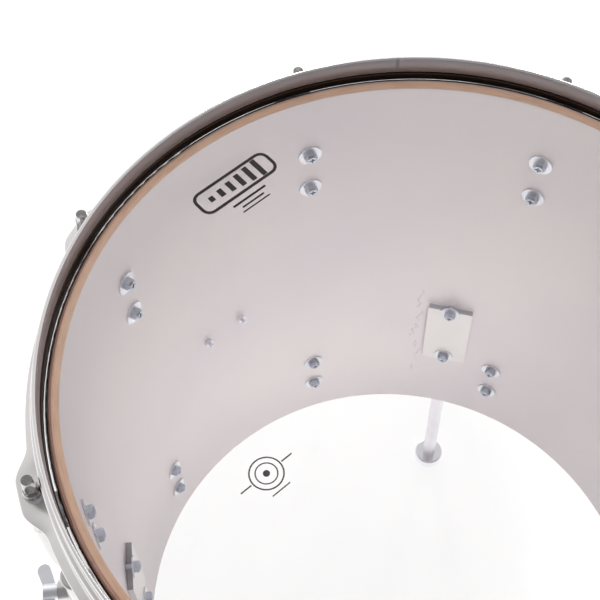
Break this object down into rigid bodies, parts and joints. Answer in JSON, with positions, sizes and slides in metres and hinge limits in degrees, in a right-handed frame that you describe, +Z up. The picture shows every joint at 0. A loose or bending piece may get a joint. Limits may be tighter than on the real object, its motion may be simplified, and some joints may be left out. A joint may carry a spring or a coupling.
{
  "type": "floor tom drum",
  "caption": "Floor tom with a wooden shell, clear heads, steel hoops held by key rods and lugs, and height-adjustable legs.",
  "frame": {"origin": "the point on the floor under the drum's axis, level with the soles of the three feet", "axes": "+Z up along the drum's axis, -Y towards the badge, +X to the right of the badge seen from the front"},
  "size_m": [0.4512, 0.4754, 0.6095],
  "materials": {
    "shell_wood": "painted inside, bare bearing edges",
    "clear_film": "clear polyester film",
    "flesh_hoop_alloy": "dull",
    "chrome_hoop": "polished plate",
    "chrome_cast": "polished plate",
    "gasket_rubber": "matte",
    "nut_brass": "turned",
    "steel_plated": "zinc plated",
    "steel_rod": "polished plate",
    "plate_white": "satin white",
    "leg_chrome": "polished plate",
    "foot_rubber": "pale grey",
    "badge_metal": "brushed, blank"
  },
  "bodies": {
    "drum": {"shell": "shell_wood", "batter_head_film": "clear_film", "resonant_head_film": "clear_film", "batter_flesh_hoop": "flesh_hoop_alloy", "resonant_flesh_hoop": "flesh_hoop_alloy", "batter_hoop": "chrome_hoop", "resonant_hoop": "chrome_hoop", "lugs_top": "chrome_cast", "lugs_bottom": "chrome_cast", "leg_bracket_1": "chrome_cast", "leg_bracket_2": "chrome_cast", "leg_bracket_3": "chrome_cast", "lug_gaskets_top": "gasket_rubber", "lug_gaskets_bottom": "gasket_rubber", "bracket_gaskets": "gasket_rubber", "swivel_nuts_top": "nut_brass", "swivel_nuts_bottom": "nut_brass", "rod_washers_top": "steel_plated", "rod_washers_bottom": "steel_plated", "lug_bolts": "steel_plated", "lug_bolt_washers": "steel_plated", "bracket_bolts": "steel_plated", "bracket_bolt_washers": "steel_plated", "badge_screws": "steel_plated", "badge_nuts": "steel_plated", "backing_plates": "plate_white", "badge_plate": "badge_metal", "vent_grommet": "badge_metal"},
    "rod_top_1": {"tension_rod_top_1": "steel_rod"},
    "rod_top_2": {"tension_rod_top_2": "steel_rod"},
    "rod_top_3": {"tension_rod_top_3": "steel_rod"},
    "rod_top_4": {"tension_rod_top_4": "steel_rod"},
    "rod_top_5": {"tension_rod_top_5": "steel_rod"},
    "rod_top_6": {"tension_rod_top_6": "steel_rod"},
    "rod_top_7": {"tension_rod_top_7": "steel_rod"},
    "rod_top_8": {"tension_rod_top_8": "steel_rod"},
    "rod_bottom_1": {"tension_rod_bottom_1": "steel_rod"},
    "rod_bottom_2": {"tension_rod_bottom_2": "steel_rod"},
    "rod_bottom_3": {"tension_rod_bottom_3": "steel_rod"},
    "rod_bottom_4": {"tension_rod_bottom_4": "steel_rod"},
    "rod_bottom_5": {"tension_rod_bottom_5": "steel_rod"},
    "rod_bottom_6": {"tension_rod_bottom_6": "steel_rod"},
    "rod_bottom_7": {"tension_rod_bottom_7": "steel_rod"},
    "rod_bottom_8": {"tension_rod_bottom_8": "steel_rod"},
    "clamp_1": {"clamp_screw_1": "steel_plated"},
    "leg_1": {"leg_1": "leg_chrome", "leg_foot_1": "foot_rubber"},
    "clamp_2": {"clamp_screw_2": "steel_plated"},
    "leg_2": {"leg_2": "leg_chrome", "leg_foot_2": "foot_rubber"},
    "clamp_3": {"clamp_screw_3": "steel_plated"},
    "leg_3": {"leg_3": "leg_chrome", "leg_foot_3": "foot_rubber"}
  },
  "joints": [
    {"name": "rod_top_1_turn", "type": "hinge", "parent": "drum", "child": "rod_top_1", "pos_m": [0.19799, 0.08201, 0.585], "axis": [0, 0, 1], "continuous": true},
    {"name": "rod_top_2_turn", "type": "hinge", "parent": "drum", "child": "rod_top_2", "pos_m": [0.08201, 0.19799, 0.585], "axis": [0, 0, 1], "continuous": true},
    {"name": "rod_top_3_turn", "type": "hinge", "parent": "drum", "child": "rod_top_3", "pos_m": [-0.08201, 0.19799, 0.585], "axis": [0, 0, 1], "continuous": true},
    {"name": "rod_top_4_turn", "type": "hinge", "parent": "drum", "child": "rod_top_4", "pos_m": [-0.19799, 0.08201, 0.585], "axis": [0, 0, 1], "continuous": true},
    {"name": "rod_top_5_turn", "type": "hinge", "parent": "drum", "child": "rod_top_5", "pos_m": [-0.19799, -0.08201, 0.585], "axis": [0, 0, 1], "continuous": true},
    {"name": "rod_top_6_turn", "type": "hinge", "parent": "drum", "child": "rod_top_6", "pos_m": [-0.08201, -0.19799, 0.585], "axis": [0, 0, 1], "continuous": true},
    {"name": "rod_top_7_turn", "type": "hinge", "parent": "drum", "child": "rod_top_7", "pos_m": [0.08201, -0.19799, 0.585], "axis": [0, 0, 1], "continuous": true},
    {"name": "rod_top_8_turn", "type": "hinge", "parent": "drum", "child": "rod_top_8", "pos_m": [0.19799, -0.08201, 0.585], "axis": [0, 0, 1], "continuous": true},
    {"name": "rod_bottom_1_turn", "type": "hinge", "parent": "drum", "child": "rod_bottom_1", "pos_m": [0.19799, 0.08201, 0.1986], "axis": [0, 0, -1], "continuous": true},
    {"name": "rod_bottom_2_turn", "type": "hinge", "parent": "drum", "child": "rod_bottom_2", "pos_m": [0.08201, 0.19799, 0.1986], "axis": [0, 0, -1], "continuous": true},
    {"name": "rod_bottom_3_turn", "type": "hinge", "parent": "drum", "child": "rod_bottom_3", "pos_m": [-0.08201, 0.19799, 0.1986], "axis": [0, 0, -1], "continuous": true},
    {"name": "rod_bottom_4_turn", "type": "hinge", "parent": "drum", "child": "rod_bottom_4", "pos_m": [-0.19799, 0.08201, 0.1986], "axis": [0, 0, -1], "continuous": true},
    {"name": "rod_bottom_5_turn", "type": "hinge", "parent": "drum", "child": "rod_bottom_5", "pos_m": [-0.19799, -0.08201, 0.1986], "axis": [0, 0, -1], "continuous": true},
    {"name": "rod_bottom_6_turn", "type": "hinge", "parent": "drum", "child": "rod_bottom_6", "pos_m": [-0.08201, -0.19799, 0.1986], "axis": [0, 0, -1], "continuous": true},
    {"name": "rod_bottom_7_turn", "type": "hinge", "parent": "drum", "child": "rod_bottom_7", "pos_m": [0.08201, -0.19799, 0.1986], "axis": [0, 0, -1], "continuous": true},
    {"name": "rod_bottom_8_turn", "type": "hinge", "parent": "drum", "child": "rod_bottom_8", "pos_m": [0.19799, -0.08201, 0.1986], "axis": [0, 0, -1], "continuous": true},
    {"name": "clamp_1_turn", "type": "hinge", "parent": "drum", "child": "clamp_1", "pos_m": [-0.20295, -0.14079, 0.312], "axis": [-0.8216, -0.57, 0], "range_deg": [-720, 0]},
    {"name": "leg_1_height", "type": "slide", "parent": "drum", "child": "leg_1", "axis": [0, 0, 1], "range_m": [-0.1, 0.1]},
    {"name": "clamp_2_turn", "type": "hinge", "parent": "drum", "child": "clamp_2", "pos_m": [0.20295, -0.14079, 0.312], "axis": [0.8216, -0.57, 0], "range_deg": [-720, 0]},
    {"name": "leg_2_height", "type": "slide", "parent": "drum", "child": "leg_2", "axis": [0, 0, 1], "range_m": [-0.1, 0.1]},
    {"name": "clamp_3_turn", "type": "hinge", "parent": "drum", "child": "clamp_3", "pos_m": [0, 0.247, 0.312], "axis": [0, 1, 0], "range_deg": [-720, 0]},
    {"name": "leg_3_height", "type": "slide", "parent": "drum", "child": "leg_3", "axis": [0, 0, 1], "range_m": [-0.1, 0.1]}
  ]
}
